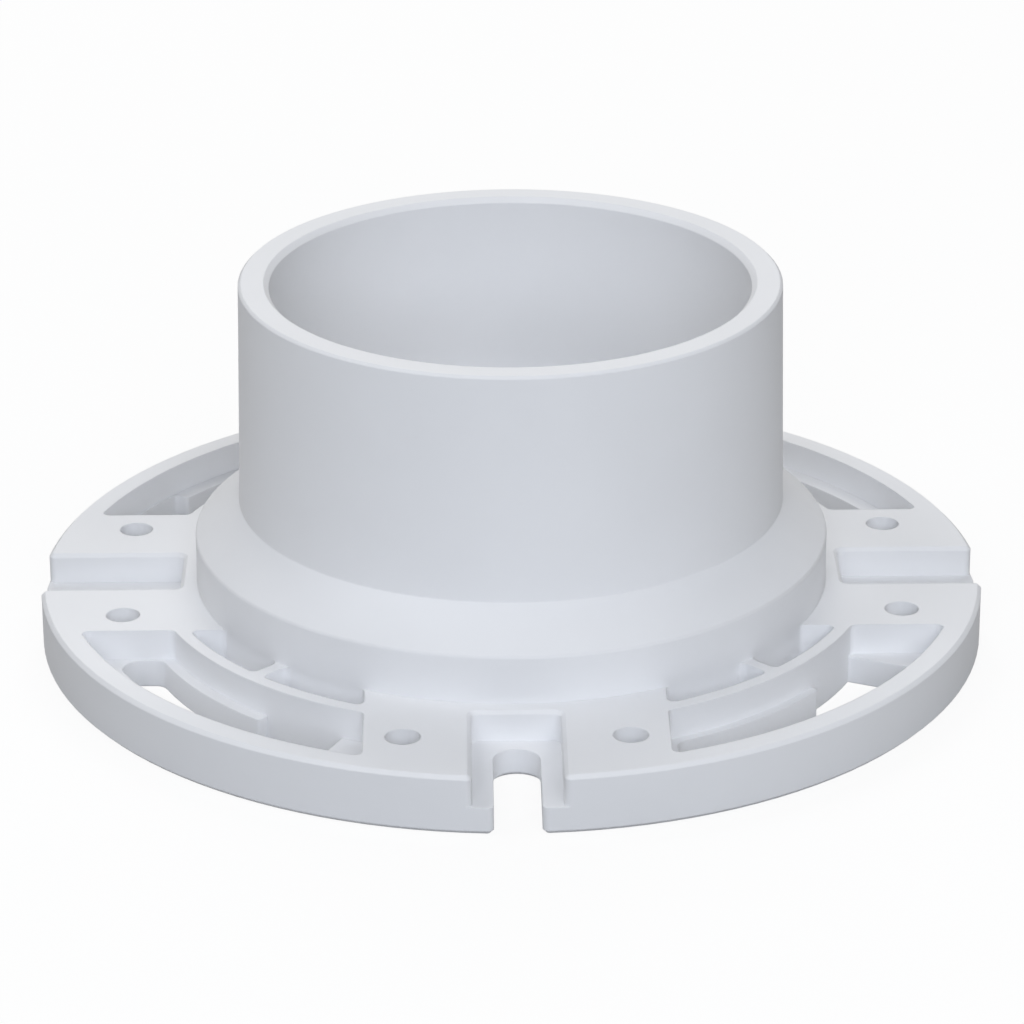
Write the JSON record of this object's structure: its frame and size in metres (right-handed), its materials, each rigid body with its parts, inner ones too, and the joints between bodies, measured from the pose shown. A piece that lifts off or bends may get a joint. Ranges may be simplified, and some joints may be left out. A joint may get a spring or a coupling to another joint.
{
  "type": "closet flange",
  "caption": "Round floor flange with ribbed underside, bolt slots and notches, and a tubular pipe hub, lying on its finished face.",
  "frame": {"origin": "centre of the finished face, which is the base it lies on", "axes": "+Z along the hub, out of the pipe socket; -Y towards the viewer of the picture, through the front notch"},
  "size_m": [0.1774, 0.1774, 0.0698],
  "materials": {
    "white_pvc": "satin moulded"
  },
  "bodies": {
    "root": {"closet_flange": "white_pvc"}
  },
  "joints": []
}
